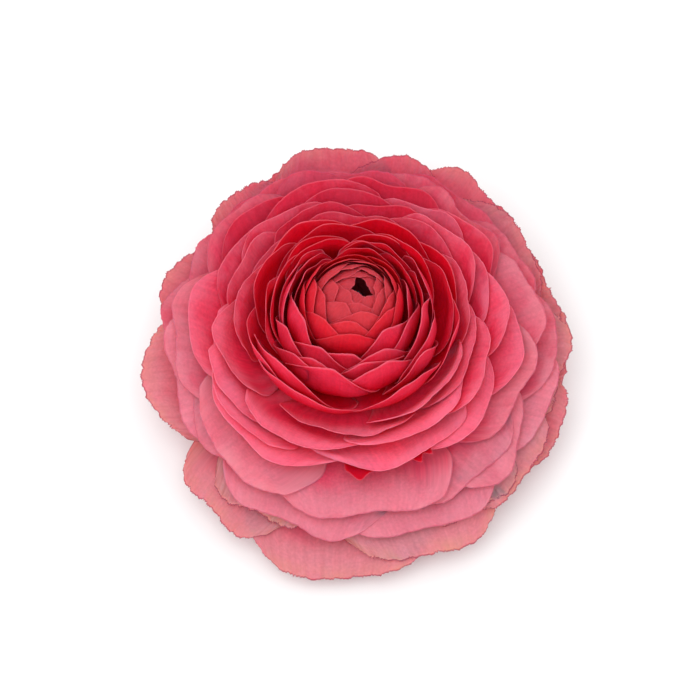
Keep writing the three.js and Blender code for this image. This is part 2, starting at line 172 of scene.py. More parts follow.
# %% [markdown]
# ## The bud's lean
# The eye of this bloom opens a little to the right of its axis. The domes could be drawn off the
# axis, but then they would need rows for more azimuths. It is simpler to move their points
# sideways afterwards, most at the eye and hardly at all further out.

# %% Points of the bloom
EYE_OFFSET = 2.2  # the bud leans this far to the right, towards its opening
EYE_REACH = 8.0  # radius over which it leans
LEAN_FROM, LEAN_RISE = 30.0, 14.0  # the lean sets in at this height, over this rise


def smooth(x):
    """Eases from 0 to 1 as x goes from 0 to 1."""
    x = np.clip(x, 0, 1)
    return x * x * (3 - 2 * x)


def bloom_point(layers, layer, azimuth, s):
    """Points of space, in millimetres, with the bud's lean towards its opening."""
    r, z = np.moveaxis(on_profile(profile(layers, layer, azimuth), s), -1, 0)
    lean = EYE_OFFSET * np.exp(-((r / EYE_REACH) ** 2)) * smooth((z - LEAN_FROM) / LEAN_RISE)
    return np.stack([r * np.cos(azimuth) + lean, r * np.sin(azimuth), z], -1)


print("top of the bud's outermost layer, mm:", bloom_point(DOMES, 12, 0.0, 1.0).round(1))

# %% [markdown]
# ## Outline of a petal
# A real petal is an egg-shaped sheet on a narrow claw, and one shoulder often stands higher than
# the other. It could be drawn as a curve and filled, but a grid of points is easier to bend and
# to shade. In it u runs from -1 to 1 across the petal and v from its root to its margin.

# %% Breadth and length
WIDEST_AT = 0.72  # share of a petal's length at which it is widest
LOBES_ACROSS = 1.4


def breadth_share(v, claw):
    """Half of a petal's breadth, as a share of its widest."""
    swell = np.sin(np.minimum(1, v / WIDEST_AT) * math.pi / 2) ** 2.2
    shoulder = 1 - 0.1 * np.maximum(0, (v - WIDEST_AT) / (1 - WIDEST_AT)) ** 2
    return (claw + (1 - claw) * swell) * shoulder


def profile_along(petal, u, v):
    """How far along its profile a petal's point lies, with round, slanting, lobed shoulders."""
    margin = 1 - petal["roundness"] * np.abs(u) ** petal["squareness"] + petal["slant"] * u
    margin = margin + petal["lobes"] * np.sin(math.pi * LOBES_ACROSS * u + petal["phases"][0])
    return v * margin * petal["length"]


print("share of the breadth at the root, waist and shoulder:",
      breadth_share(np.array([0.0, 0.4, 0.8]), 0.12).round(2))

# %% [markdown]
# ## Bending a petal onto its layer
# Petals that wrap the bud take up an angle. Open ones keep their breadth in millimetres: they
# bend across their midline as the layer does there, as a sheet of paper would, and then settle
# on it. An angle would be simpler for them too, but their sides would fan out.

# %% Points of a petal
FARTHEST_PLACE = 1.14  # the mouth of a layer is at 1, and a lobe may reach past it


def nearest_place(points, r, z):
    """The place along a profile that is nearest to a point in (r, z)."""
    tries = np.linspace(0, FARTHEST_PLACE, 39)
    best = np.zeros_like(r)
    for _ in range(3):
        places = best[..., None] + tries
        spots = on_profile(points[..., None, :, :], places)
        gap = (spots[..., 0] - r[..., None]) ** 2 + (spots[..., 1] - z[..., None]) ** 2
        best = np.take_along_axis(places, gap.argmin(-1)[..., None], -1)[..., 0]
        reach = (tries[1] - tries[0]) * 0.7
        tries = np.linspace(-reach, reach, 9)
    return best


def petal_place(petal, u, v):
    """Azimuth and place along the profile of the petal's points."""
    middle = math.radians(petal["azimuth"])
    s = profile_along(petal, u, v)
    share = breadth_share(v, petal["claw"]) * u
    if petal.get("span"):
        return middle + math.radians(petal["span"] / 2) * share, s
    points = np.broadcast_to(profile(petal["layers"], petal["layer"], middle), (*s.shape, 4, 2))
    r, z = np.moveaxis(on_profile(points, s), -1, 0)
    # Across its midline the petal bends as its layer does there, and keeps its breadth.
    across = petal["breadth"] / 2 * share
    normal_r, normal_z = np.moveaxis(outward(points, s), -1, 0)
    normal_r = np.where(np.abs(normal_r) < 1e-6, 1e-6, normal_r)
    bend = across * normal_r / r
    side = across * np.sinc(bend / math.pi)
    out = r * np.cos(bend)
    drop = r / normal_r * normal_z * (1 - np.cos(bend))
    # Each point then moves to the nearest place on the layer at its own azimuth.
    azimuth = middle + np.arctan2(side, out)
    there = profile(petal["layers"], petal["layer"], azimuth)
    return azimuth, nearest_place(there, np.hypot(side, out), z - drop)


def midline(petal, places):
    """Points in (r, z) at places along a petal's midline."""
    points = profile(petal["layers"], petal["layer"], math.radians(petal["azimuth"]))
    return on_profile(np.broadcast_to(points, (len(places), 4, 2)), places)


print("petals may reach as far as place", FARTHEST_PLACE, "on their profile")

# %% [markdown]
# ## Waves, lips and teeth
# A petal is floppy, so its margin waves, and the lip rolls a little outwards as it opens.
# Waves, twist, lip and soft dents are offsets in millimetres, square to the layer. They grow
# towards the margin, where the petal is free. Waves and lips only lift it off its layer, so that
# a margin doesn't sink into the petal under it. Cloth simulation could give such waves too, but
# petals lie half a millimetre or so apart here, and offsets say how far each may move.

# %% Laying a petal
CRUMPLE_LENGTHS = (8.0, 11.0, 15.0, 21.0)  # millimetres between the soft dents of a petal


def ripple(u, rate, phases):
    """A smooth uneven wave of about that many crests across the petal."""
    return sum(
        np.sin(math.pi * rate * share * u + phase) * weight
        for share, weight, phase in zip((0.53, 1.0, 1.71), (0.35, 0.45, 0.2), phases)
    )


def ragged(u, rate, phases):
    """Uneven pointed teeth, about that many across the petal, between small torn bays."""
    teeth = sum(
        (0.6 - np.abs(np.sin(math.pi * rate * share * u / 2 + phase))) * weight
        for share, weight, phase in zip((0.61, 1.0, 1.37), (0.4, 0.9, 0.5), phases)
    )
    patches = np.sin(math.pi * 4.3 * u + phases[1]) * np.sin(math.pi * 1.7 * u + phases[2])
    return teeth * (0.6 + 0.4 * patches) + 0.7 * ripple(u, rate * 0.22, phases)


def lay_petal(petal, columns, rows):
    """A petal's middle surface, its normals, and its place and distance from the margin."""
    u = np.linspace(-1, 1, columns + 1)[None, :]
    v = (1 - (1 - np.linspace(0, 1, rows + 1)) ** 1.35)[:, None]
    u, v = np.broadcast_arrays(u, v)
    phases = petal["phases"]
    azimuth, s = petal_place(petal, u, v)
    steps = np.diff(midline(petal, np.linspace(0, petal["length"], 21)), axis=0)
    profile_mm = np.linalg.norm(steps, axis=1).sum()
    s = s + petal["tooth_mm"] * v**12 * ragged(u, petal["teeth"], phases[3:6]) / profile_mm
    place = petal["layers"], petal["layer"], azimuth, s
    half = petal["breadth_mm"] / 2 * breadth_share(v, petal["claw"])
    waves = petal["wave"] * v**3 * (1 - ripple(u, petal["waves"], phases[:3]))
    frill = petal["frill"] * v**9 * (1 - ripple(u, petal["teeth"] * 0.45, phases[6:9]))
    lip = petal["lip"] * smooth((v - 0.55) / 0.3) * (1 - 0.8 * smooth((v - 0.88) / 0.12))
    curl = petal["curl"] * v**2 * np.abs(u) ** 3
    twist = petal["twist"] * v**2 * (1 + u)
    across_mm, along_mm = half * u, v * profile_mm
    crumple = petal["crumple"] * v * sum(
        np.sin(2 * math.pi * (across_mm * math.cos(turn) + along_mm * math.sin(turn)) / length + turn)
        for turn, length in zip(phases[3:7], CRUMPLE_LENGTHS))
    offset = waves + frill + lip + curl + twist + crumple
    normal = layer_normals(*place)
    grid = bloom_point(*place) - normal * offset[..., None]
    from_margin = np.minimum((1 - v) * profile_mm, (1 - np.abs(u)) * half)
    return grid, normal, {"along": v, "across": u, "from_margin": from_margin, "half": half}


print("a petal's soft dents repeat every", CRUMPLE_LENGTHS, "mm")

# %% [markdown]
# ## From a sheet to a petal with two faces
# One layer of faces would do for a render, but a real petal has a front, a back and a thin edge.
# A Solidify modifier could give it those. The layer's normals and the distance from the margin
# are at hand here, so we push the sheet apart ourselves, less at the margin, and close it.

# %% Closing a petal
PETAL_THICKNESS = 0.22
MARGIN_THICKNESS = 0.1
THINNING = 2.5  # millimetres over which a blade thins out to its margin


def blade(grid, normal, values, thick=PETAL_THICKNESS, thin=MARGIN_THICKNESS):
    """Points, faces and point values of a closed blade round a grid."""
    rows, columns = grid.shape[:2]
    half = (thin + (thick - thin) * smooth(values["from_margin"] / THINNING)) / 2
    points = np.concatenate([
        (grid - normal * half[..., None]).reshape(-1, 3),
        (grid + normal * half[..., None]).reshape(-1, 3),
    ])
    index = np.arange(rows * columns).reshape(rows, columns)
    quads = np.stack([index[:-1, :-1], index[:-1, 1:], index[1:, 1:], index[1:, :-1]], -1)
    quads = quads.reshape(-1, 4)
    edge = np.concatenate([index[0, :-1], index[:-1, -1], index[-1, :0:-1], index[:0:-1, 0]])
    after = np.roll(edge, -1)
    under = rows * columns
    sides = np.stack([edge, edge + under, after + under, after], -1)
    faces = np.concatenate([quads[:, ::-1], quads + under, sides[:, ::-1]])
    return points, faces, {k: np.tile(values[k].ravel(), 2) for k in values}


print("a petal is", PETAL_THICKNESS, "mm thick and", MARGIN_THICKNESS, "mm at its margin")

# %% [markdown]
# ## A whorl as one mesh
# Each petal could be an object of its own, but the CAD model has one node for a whorl, so its
# petals are joined in one mesh. It carries plain numbers at its points: how far along the petal,
# how far across, how many millimetres from the margin, half the breadth there, and each petal's
# tone and youth. The finishes read them, so veins and edge lines follow a petal without an image.

# %% Building a whorl
POINT_VALUES = ("along", "across", "from_margin", "half", "tone", "young")


def mesh_piece(name, blades):
    """One object from closed blades, placed on the bloom's axis, in metres."""
    points = np.concatenate([points for points, _, _ in blades])
    starts = np.cumsum([0] + [len(values["along"]) for _, _, values in blades[:-1]])
    faces = np.concatenate([faces + start for (_, faces, _), start in zip(blades, starts)])
    mesh = bpy.data.meshes.new(name)
    mesh.vertices.add(len(points))
    place = points * MM + np.array([BLOOM_AXIS.x, BLOOM_AXIS.y, 0])
    mesh.vertices.foreach_set("co", place.astype(np.float32).ravel())
    mesh.loops.add(faces.size)
    mesh.loops.foreach_set("vertex_index", faces.astype(np.int32).ravel())
    mesh.polygons.add(len(faces))
    mesh.polygons.foreach_set("loop_start", np.arange(0, faces.size, 4, dtype=np.int32))
    mesh.polygons.foreach_set("use_smooth", np.ones(len(faces), bool))
    mesh.update(calc_edges=True)
    for value in POINT_VALUES:
        data = np.concatenate([values[value] for _, _, values in blades]).astype(np.float32)
        mesh.attributes.new(value, "FLOAT", "POINT").data.foreach_set("value", data)
    mesh.validate()
    piece = bpy.data.objects.new(name, mesh)
    bpy.context.scene.collection.objects.link(piece)
    return piece


def dressed(piece, node, material):
    """Gives a piece its finish and lets it stand for a CAD node."""
    piece.data.materials.append(material)
    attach(piece, "root")
    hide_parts(node)
    print(piece.name, len(piece.data.polygons) * 2, "triangles,",
          [round(x / MM, 1) for x in piece.dimensions], "mm")


def petal_blade(petal, columns, rows, **thickness):
    """A petal's closed blade, with its tone and youth at every point."""
    grid, normal, values = lay_petal(petal, columns, rows)
    for value in ("tone", "young"):
        values[value] = np.full(grid.shape[:2], petal[value])
    return blade(grid, normal, values, **thickness)


def whorl_piece(name, petals, columns, rows, material, node):
    """All petals of a whorl as one piece that stands for the whorl's CAD node."""
    columns, rows = round(columns * DETAIL), round(rows * DETAIL)
    blades = [petal_blade(petal, columns, rows) for petal in petals]
    print(name, "has", len(petals), "petals")
    dressed(mesh_piece(name, blades), node, material)


print("each point carries:", POINT_VALUES)

# %% [markdown]
# ## Colours and helpers for nodes
# Petal colours start from what such blooms show in daylight, as sRGB hex values, and were then
# matched by comparing renders with a photograph. One function turns them to linear light. A
# finish could be built by hand in the shader editor, but nobody could read it here. Small
# functions start it, add a node and fill in inputs, so that it reads as a list of steps.

# %% Colour and node helpers


def linear(hex_colour):
    """A colour in linear light from an sRGB hex value."""
    channels = [int(hex_colour[i:i + 2], 16) / 255 for i in (0, 2, 4)]
    return (*[c / 12.92 if c <= 0.04045 else ((c + 0.055) / 1.055) ** 2.4 for c in channels], 1.0)


def fill(node, values=None, links=None):
    """Sets inputs of a node to values, or links them to sockets or to nodes' first outputs."""
    for key, value in (values or {}).items():
        node.inputs[key].default_value = value
    for key, source in (links or {}).items():
        socket = source.outputs[0] if hasattr(source, "outputs") else source
        node.id_data.links.new(socket, node.inputs[key])
    return node


def add(tree, kind, values=None, links=None, **settings):
    """Adds a shader node of a kind, with its settings, its inputs' values and its links."""
    node = tree.nodes.new("ShaderNode" + kind)
    for key, value in settings.items():
        setattr(node, key, value)
    return fill(node, values, links)


def limits(from_min, from_max, to_min, to_max):
    """Input values of a MapRange node."""
    return {"From Min": from_min, "From Max": from_max, "To Min": to_min, "To Max": to_max}


def new_finish(name):
    """A new material, its node tree and its shader."""
    material = bpy.data.materials.new(name)
    material.use_nodes = True
    return material, material.node_tree, material.node_tree.nodes["Principled BSDF"]


print("crimson c8102e in linear light:", [round(c, 3) for c in linear("c8102e")[:3]])

# %% [markdown]
# ## Petal tissue: veins, blots and mottle
# A petal is living tissue, two skins of flat cells with sap and air between them. Veins fan out
# from its claw, about 0.45 mm apart at the shoulder. They are drawn twice as coarse, as they
# wouldn't show otherwise. Clumps of cells mottle the skin about every 0.7 mm, and blots of some
# 6 mm shift its colour.
# An image could hold these patterns, but every petal would have to be unwrapped for it. Noise
# read in a petal's own measures follows it by itself: across and along it for the veins, and in
# millimetres for the rest. Its tone picks a slice of the noise, so no two petals look alike.

# %% Patterns of a petal
VEIN_SPACING = 0.9
TYPICAL_HALF_BREADTH = 15.0
VEIN_CELLS_ALONG = 2.5  # few, so that the veins are long
MOTTLE_SIZE = 0.7
BLOT_SIZE = 6.25
SLICES = 61.0


def petal_patterns(tree):
    """The point values of a petal, and its veins, blots and mottle."""
    read = {value: add(tree, "Attribute", attribute_name=value).outputs["Fac"] for value in POINT_VALUES}
    slices = add(tree, "Math", values={1: SLICES}, links={0: read["tone"]}, operation="MULTIPLY")
    fan = add(tree, "Math", values={1: TYPICAL_HALF_BREADTH / VEIN_SPACING},
              links={0: read["across"]}, operation="MULTIPLY")
    slow = add(tree, "Math", values={1: VEIN_CELLS_ALONG}, links={0: read["along"]},
               operation="MULTIPLY")
    vein_place = add(tree, "CombineXYZ", links={0: fan, 1: slow, 2: slices})
    veins = add(tree, "TexNoise", values={"Scale": 1.0, "Detail": 2.0, "Roughness": 0.6},
                links={"Vector": vein_place})
    across_mm = add(tree, "Math", links={0: read["across"], 1: read["half"]}, operation="MULTIPLY")
    place_mm = add(tree, "CombineXYZ", links={0: across_mm, 1: read["from_margin"], 2: slices})
    blots = add(tree, "TexNoise", values={"Scale": 1 / BLOT_SIZE, "Detail": 3.0, "Roughness": 0.55},
                links={"Vector": place_mm})
    mottle_place = add(tree, "VectorMath", values={"Scale": 1 / MOTTLE_SIZE},
                       links={0: place_mm}, operation="SCALE")
    mottle = add(tree, "TexNoise", values={"Scale": 1.0, "Detail": 2.0}, links={"Vector": mottle_place})
    return read, {"veins": veins, "blots": blots, "mottle": mottle}


print("veins across a petal:", round(2 * TYPICAL_HALF_BREADTH / VEIN_SPACING))

# %% [markdown]
# ## Petal tissue: pigment
# The red of a petal is dissolved in its cells' sap. It is densest at the root and fades towards
# the margin, in some petals sooner than in others; the deep root is also painted shade, where the
# petals that overlap it would shade it. The youngest, at the eye, are a dull coral.
# A gradient over the whole bloom would be simpler, but would colour a petal by its place only. A
# ramp along each petal fades each by itself. Its tone moves the ramp and sets its lightness, and
# blots, veins and mottle vary both a little.

# %% Pigment of a petal
YOUNG_CORAL = "c63a46"
RAMP_PLACES = {"root": 0.4, "waist": 0.68, "shoulder": 0.97}  # shares of a petal's length
BLOT_SHIFT = 0.07
TONE_SHIFT = (-0.3, 0.2)
VEIN_SHADES = (0.92, 1.05)
MOTTLE_SHADES = (0.93, 1.07)


def pigmented(tree, read, patterns, pigments, lightness):
    """The petal's colour from its root outwards, shaded by its tone, veins and mottle."""
    shift = add(tree, "MapRange", links={"Value": patterns["blots"]},
                values=limits(0.25, 0.75, -BLOT_SHIFT, BLOT_SHIFT))
    # As painted light, the tone that rises at the front moves the ramp of front petals towards the pale
    # shoulder.
    lead = add(tree, "MapRange", links={"Value": read["tone"]}, clamp=False,
               values=limits(0, 1, *TONE_SHIFT))
    place = add(tree, "Math", links={0: read["along"], 1: shift}, operation="ADD")
    place = add(tree, "Math", links={0: place, 1: lead}, operation="ADD")
    pigment = add(tree, "ValToRGB", links={"Fac": place})
    ramp = pigment.color_ramp
    ramp.interpolation = "EASE"
    for stop, part in zip(ramp.elements, ("root", "shoulder")):
        stop.position, stop.color = RAMP_PLACES[part], linear(pigments[part])
    ramp.elements.new(RAMP_PLACES["waist"]).color = linear(pigments["waist"])
    colour = add(tree, "Mix", values={"B": linear(YOUNG_CORAL)}, data_type="RGBA",
                 links={"Factor": read["young"], "A": pigment}).outputs["Result"]
    # Through the tone this lightness is partly painted light: front petals lighter, rear ones darker.
    shade = add(tree, "MapRange", links={"Value": read["tone"]}, values=limits(0, 1, *lightness))
    for pattern, shades in (("veins", VEIN_SHADES), ("mottle", MOTTLE_SHADES)):
        faint = add(tree, "MapRange", links={"Value": patterns[pattern]},
                    values=limits(0.3, 0.7, *shades))
        shade = add(tree, "Math", links={0: faint, 1: shade}, operation="MULTIPLY")
    return add(tree, "VectorMath", links={0: colour, "Scale": shade}, operation="SCALE")


print("coral of the youngest petals, linear:", [round(c, 3) for c in linear(YOUNG_CORAL)[:3]])

# %% [markdown]
# ## Petal tissue: margins
# Towards its margin a petal is thinner, and in the light it shows another tint, in patches: paler
# in the cup, and tan where old petals dry. At the very edge, where its two skins meet, runs a fine
# line: darker on the middle, outer and guard petals, and on the bud and cup a pale one, which is a
# painted highlight of their rims.
# Both could be extra strips of mesh. As the mesh knows how far each point is from the margin, two
# mixes are enough, and they keep to the margin however torn it is.

# %% Band and edge line of a petal
BLOTS_WITH_BAND = (0.36, 0.68)  # noise values between which the band sets in
EDGE_WHOLE = 0.3  # share of the edge line's width before it starts to fade


def margined(tree, read, patterns, colour, band, edge):
    """A patchy band and an edge line, each by hex colour, width in mm and strength, over a colour."""
    band_colour, band_mm, band_strength = band
    edge_line_and_highlight_colour, edge_mm, edge_strength = edge
    near = add(tree, "MapRange", links={"Value": read["from_margin"]}, values=limits(0, band_mm, 1, 0))
    patch = add(tree, "MapRange", links={"Value": patterns["blots"]},
                values=limits(*BLOTS_WITH_BAND, 0, band_strength))
    tint = add(tree, "Math", links={0: near, 1: patch}, operation="MULTIPLY")
    # The tone makes the band stronger on the front petals, as painted light.
    tint = add(tree, "Math", links={0: tint, 1: read["tone"]}, operation="MULTIPLY", use_clamp=True)
    line = add(tree, "MapRange", links={"Value": read["from_margin"]},
               values=limits(edge_mm * EDGE_WHOLE, edge_mm, edge_strength, 0))
    for tinge, strength in ((band_colour, tint), (edge_line_and_highlight_colour, line)):
        colour = add(tree, "Mix", values={"B": linear(tinge)}, data_type="RGBA",
                     links={"Factor": strength, "A": colour}).outputs["Result"]
    return colour


print("the band sets in between blot values", BLOTS_WITH_BAND)

# %% [markdown]
# ## Petal tissue: surface and glow
# Nothing has polished a petal: its skin has grown in small cones that break up reflections. So
# it looks velvety, with the IOR of watery tissue, near 1.4, but a low specular level. Light soaks
# in and glows through the next petal, so the gaps of a red flower look red and not black. We
# could paint that glow, but subsurface scattering, about a millimetre deep, does it by itself.
# One function makes the five whorls' finishes. They differ in pigment, in bands and edge lines,
# and in how much lighter a high tone makes a petal.

# %% One finish for each whorl
PETAL_IOR = 1.4
PETAL_SPECULAR = 0.12
PETAL_ROUGHNESS = (0.5, 0.7)
GLOW_REACH = 1.0
GLOW_BY_COLOUR = (1.0, 0.25, 0.2)  # red light goes furthest
VEIN_HEIGHT = 0.12


def petal_tissue(name, root, waist, shoulder, band, edge, lightness):
    """Velvety petal tissue, with hex colours and lightness from the lowest to the highest tone."""
    material, tree, shader = new_finish(name)
    pigments = {"root": root, "waist": waist, "shoulder": shoulder}
    read, patterns = petal_patterns(tree)
    colour = pigmented(tree, read, patterns, pigments, lightness)
    colour = margined(tree, read, patterns, colour, band, edge)
    relief = add(tree, "Bump", values={"Strength": 0.4, "Distance": VEIN_HEIGHT * MM},
                 links={"Height": patterns["veins"]})
    rough = add(tree, "MapRange", links={"Value": patterns["blots"]},
                values=limits(0, 1, *PETAL_ROUGHNESS))
    fill(shader,
         values={"IOR": PETAL_IOR, "Specular IOR Level": PETAL_SPECULAR, "Subsurface Weight": 0.6,
                 "Subsurface Radius": GLOW_BY_COLOUR, "Subsurface Scale": GLOW_REACH * MM},
         links={"Base Color": colour, "Roughness": rough, "Normal": relief})
    return material


# The bud's and cup's pale edge lines are painted highlights of their rims; the others' darker lines are
# pigment.
bud_tissue = petal_tissue(
    "coral_bud_tissue", root="e00018", waist="de0822", shoulder="de1a30",
    band=("d83c44", 4.0, 0.6), edge=("e45c6c", 0.4, 0.25), lightness=(0.88, 1.0))
cup_tissue = petal_tissue(
    "crimson_cup_tissue", root="d6001a", waist="de0c2a", shoulder="e02644",
    band=("e44862", 4.5, 0.6), edge=("f0788e", 0.6, 0.4), lightness=(0.9, 1.0))
middle_tissue = petal_tissue(
    "rose_red_petal_tissue", root="e41034", waist="f23054", shoulder="f26884",
    band=("f08098", 8.0, 0.8), edge=("e46880", 0.4, 0.3), lightness=(0.58, 1.12))
outer_tissue = petal_tissue(
    "pink_petal_tissue", root="e81c3c", waist="ea4c6c", shoulder="e67c90",
    band=("e4909c", 7.0, 0.8), edge=("a84868", 0.35, 0.5), lightness=(0.66, 1.0))
guard_tissue = petal_tissue(
    "pale_margin_petal_tissue", root="e03450", waist="e06078", shoulder="de8894",
    band=("c8947e", 4.5, 0.85), edge=("7c2c4c", 0.4, 0.85), lightness=(0.66, 0.93))
print("petal finishes:", [m.name for m in bpy.data.materials if "tissue" in m.name])

# %% [markdown]
# ## Petals that wrap the bud
# In the bud and in the steep cup round it, the petals follow each other by the golden angle,
# 137.5 degrees, as on the growing plant. Each lies on a layer a little further out than the last
# and hugs the bud through a third to a fifth of a turn.
# These 75 petals could be placed one by one, like the open ones further on, but only their
# margins show, and the plant's own rule sets those as closely as in a real bud. A seeded random
# draw gives each its own slant, wave and tone, and the tone rises towards the front as painted
# light, so that the front petals are paler and the rear ones darker.

# %% Wrapped petals of the bud and the cup
GOLDEN_ANGLE = 137.508
FRONT_PAINTED_LIGHT = 0.34  # painted light: how much the tone rises at the front, to paint front petals paler and rear ones darker
OWN_TONE = 0.16  # how much a petal may differ from its neighbours
STRAY = 16  # degrees that a petal may lie off its place in the spiral
YOUNG_LAYERS = (5.0, 9.5)  # the coral of the youngest petals is lost between these layers
PLAIN_PETAL = {
    "claw": 0.12, "roundness": 0.24, "squareness": 3.0, "slant": 0.0, "lobes": 0.0, "length": 1.0,
    "teeth": 18.0, "tooth_mm": 0.12, "wave": 0.2, "waves": 2.0, "frill": 0.0, "lip": 0.0, "curl": 0.0,
    "twist": 0.0, "crumple": 0.06, "breadth_mm": 24.0, "young": 0.0,
}


def own_look(random, azimuth):
    """What differs from petal to petal: its tone, random and, as painted light, higher in front, and its
    waves' phases.
    """
    tone = 0.5 - FRONT_PAINTED_LIGHT * math.sin(math.radians(azimuth)) + random.uniform(-OWN_TONE, OWN_TONE)
    return {"tone": tone, "phases": random.uniform(0, 2 * math.pi, 9)}


def wrapped_petals(layers, count, first_azimuth, layer_range, spans, lengths, rounds, seed,
                   length_range=(0.9, 1.02), slants=0.2, **form):
    """Petals in a spiral. Pairs run from the innermost petal to the outermost, as `rounds` does."""
    random = np.random.default_rng(seed)
    petals = []
    for k in range(count):
        share = k / (count - 1)
        azimuth = first_azimuth + k * GOLDEN_ANGLE + random.uniform(-STRAY, STRAY)
        petal = {**PLAIN_PETAL, **own_look(random, azimuth), **form}
        petal.update(layers=layers, azimuth=azimuth)
        petal["layer"] = np.interp(share, (0, 1), layer_range)
        petal["span"] = np.interp(share, (0, 1), spans) * random.uniform(0.85, 1.1)
        petal["length"] = np.interp(share, (0, 1), lengths) * random.uniform(*length_range)
        petal["roundness"] = np.interp(share, (0, 0.3, 1), rounds)
        petal["young"] = np.interp(petal["layer"], YOUNG_LAYERS, (1.0, 0.0))
        petal["slant"] = random.uniform(-slants, slants) * petal["roundness"] / 0.3
        petal["twist"] = form.get("twist", 0) * random.uniform(-1, 1)
        petal["lip"] = form.get("lip", 0) * random.uniform(0, 1) ** 2
        petals.append(petal)
    return petals


bud_petals = wrapped_petals(
    DOMES, 32, 250, (0.5, 11.6), (124, 92), (1.0, 0.64), (0.04, 0.2, 0.34), 11, (0.985, 1.015), 0.1,
    squareness=1.9, claw=0.2, wave=0.12, breadth_mm=16.0, tooth_mm=0.12, twist=0.12, crumple=0.05,
    frill=0.06)
cup_petals = wrapped_petals(
    CUPS, 32, 20, (12.3, 20.8), (94, 78), (1.0, 1.0), (0.4, 0.4, 0.38), 12, squareness=1.45,
    claw=0.2, wave=0.35, lip=1.2, breadth_mm=30.0, tooth_mm=0.14, twist=0.3, crumple=0.1)
cup_petals += wrapped_petals(
    CUPS, 11, 95, (23.4, 27.0), (84, 74), (1.0, 1.0), (0.32, 0.32, 0.28), 13, squareness=1.5,
    claw=0.2, wave=0.5, lip=1.0, breadth_mm=32.0, tooth_mm=0.14, twist=0.4, crumple=0.1)
whorl_piece("bud_petals_fine", bud_petals, 26, 26, bud_tissue, "bud_petals")
whorl_piece("cup_petals_fine", cup_petals, 36, 28, cup_tissue, "cup_petals")

# %% [markdown]
# ## Room between open petals
# Past the cup the petals open out, and lie on each other where they overlap. Dropping them as
# cloth would let them settle by themselves, but slowly, and differently after every change. We
# compare them at a few places along their length instead: the angle that each takes up there,
# and the room from its layer to the next.

# %% Measures of an open petal
OPEN_PITCH = 0.36  # millimetres from a petal to the next that it overlaps, without their waves
FREE_FROM = 0.22  # share of a petal's length from which it has to clear the others
MOST_LENGTH = 1.08  # how far past the mouth of its layer a petal may reach
TESTED_PLACES = np.arange(FREE_FROM, 1.0, 0.1)


def length_to(petal):
    """The place along an open petal's layer where it reaches its outer radius."""
    places = np.arange(0.5, MOST_LENGTH, 0.005)
    enough = midline(petal, places)[:, 0] >= petal["reach"]
    return places[enough.argmax()] if enough.any() else MOST_LENGTH


def half_angles(petal):
    """Half of the angle that a petal takes up at each tested place, in degrees."""
    r = midline(petal, profile_along(petal, 1.0, TESTED_PLACES))[:, 0]
    return np.degrees(np.arctan2(petal["breadth"] / 2 * breadth_share(TESTED_PLACES, petal["claw"]), r))


def room_beside(petal):
    """Millimetres from the petal's layer to the next, at each tested place."""
    places = profile_along(petal, 0.0, TESTED_PLACES)
    return spacing(petal["layers"], petal["layer"], places, math.radians(petal["azimuth"]))


def clears(petal, others):
    """Whether a petal lies far enough from all those that it overlaps, waves and all."""
    mine = half_angles(petal)
    for other in others:
        turn = abs((petal["azimuth"] - other["azimuth"] + 540) % 360 - 180)
        overlap = turn <= mine + other["half_angles"] + 1
        waves = (petal["stack_wave"] + other["stack_wave"]) * TESTED_PLACES**4
        needed = ((OPEN_PITCH + waves) / other["room"])[overlap]
        if len(needed) and abs(other["layer"] - petal["layer"]) < needed.max():
            return False
    return True


print("petals are compared at", len(TESTED_PLACES), "places along their length")

# %% [markdown]
# ## Open petals, placed where they lie
# Each open petal has its own place in the bloom. A random draw would fill a whorl faster, but
# would look like no bloom in particular. So they are listed one by one, by azimuth, outer radius and
# breadth, and by slant where one shoulder clearly stands higher. Working from the innermost out,
# each gets the first layer on which it clears every petal that it overlaps. Its lobes, waves and
# tone come from its own seeded numbers, so that the others keep theirs when it is moved.

# %% Stacking the open petals
LAYER_STEP = 0.25


def open_petals(rows, first_layer, seed, **form):
    """Petals from rows of azimuth, outer radius, breadth and, if it is known, slant."""
    petals = []
    for azimuth, reach, breadth, *slant in sorted(rows, key=lambda row: row[1]):
        random = np.random.default_rng((seed, azimuth))
        # own_look paints light here too: front petals get a higher, paler tone and rear ones a lower,
        # darker one.
        petal = {**PLAIN_PETAL, **own_look(random, azimuth), "layers": CUPS, **form}
        petal.update(azimuth=azimuth, reach=reach, breadth=breadth, layer=first_layer)
        petal["slant"] = slant[0] if slant else random.uniform(-0.06, 0.06)
        petal["length"] = length_to(petal)
        while not clears(petal, petals):
            petal["layer"] += LAYER_STEP
            petal["length"] = length_to(petal)
        petal["half_angles"], petal["room"] = half_angles(petal), room_beside(petal)
        petal["lobes"] = random.uniform(0.0, 0.04)
        petal["roundness"] = random.uniform(0.16, 0.26)
        petal["squareness"] = random.uniform(2.4, 4.2)
        petal["breadth_mm"] = breadth * random.uniform(1.05, 1.2)
        petal["twist"] = form["twist"] * random.uniform(-1, 1)
        petal["curl"] = form["curl"] * random.uniform(-0.3, 1)
        petal["lip"] = form["lip"] * random.uniform(0, 1)
        petals.append(petal)
    for petal in petals:
        petal["breadth"] = petal["breadth_mm"]
    return petals


print("a petal in the way moves out by", LAYER_STEP, "of a layer at a time")

# %% [markdown]
# ## Middle whorl
# Rose-red petals, still cupped. Each shows its inner face as a band between the rim of the petal
# inside it and its own rounded margin. In front, three small petals peep out from under the
# margins as deep red tips.
# Outlines drawn petal by petal would follow one bloom more closely, but hold for no other view.
# With the stacking at hand, a list of places is enough. The red tips are narrow petals on layers
# further out, and a tone far below the others' gives them the pigment of a root all over.

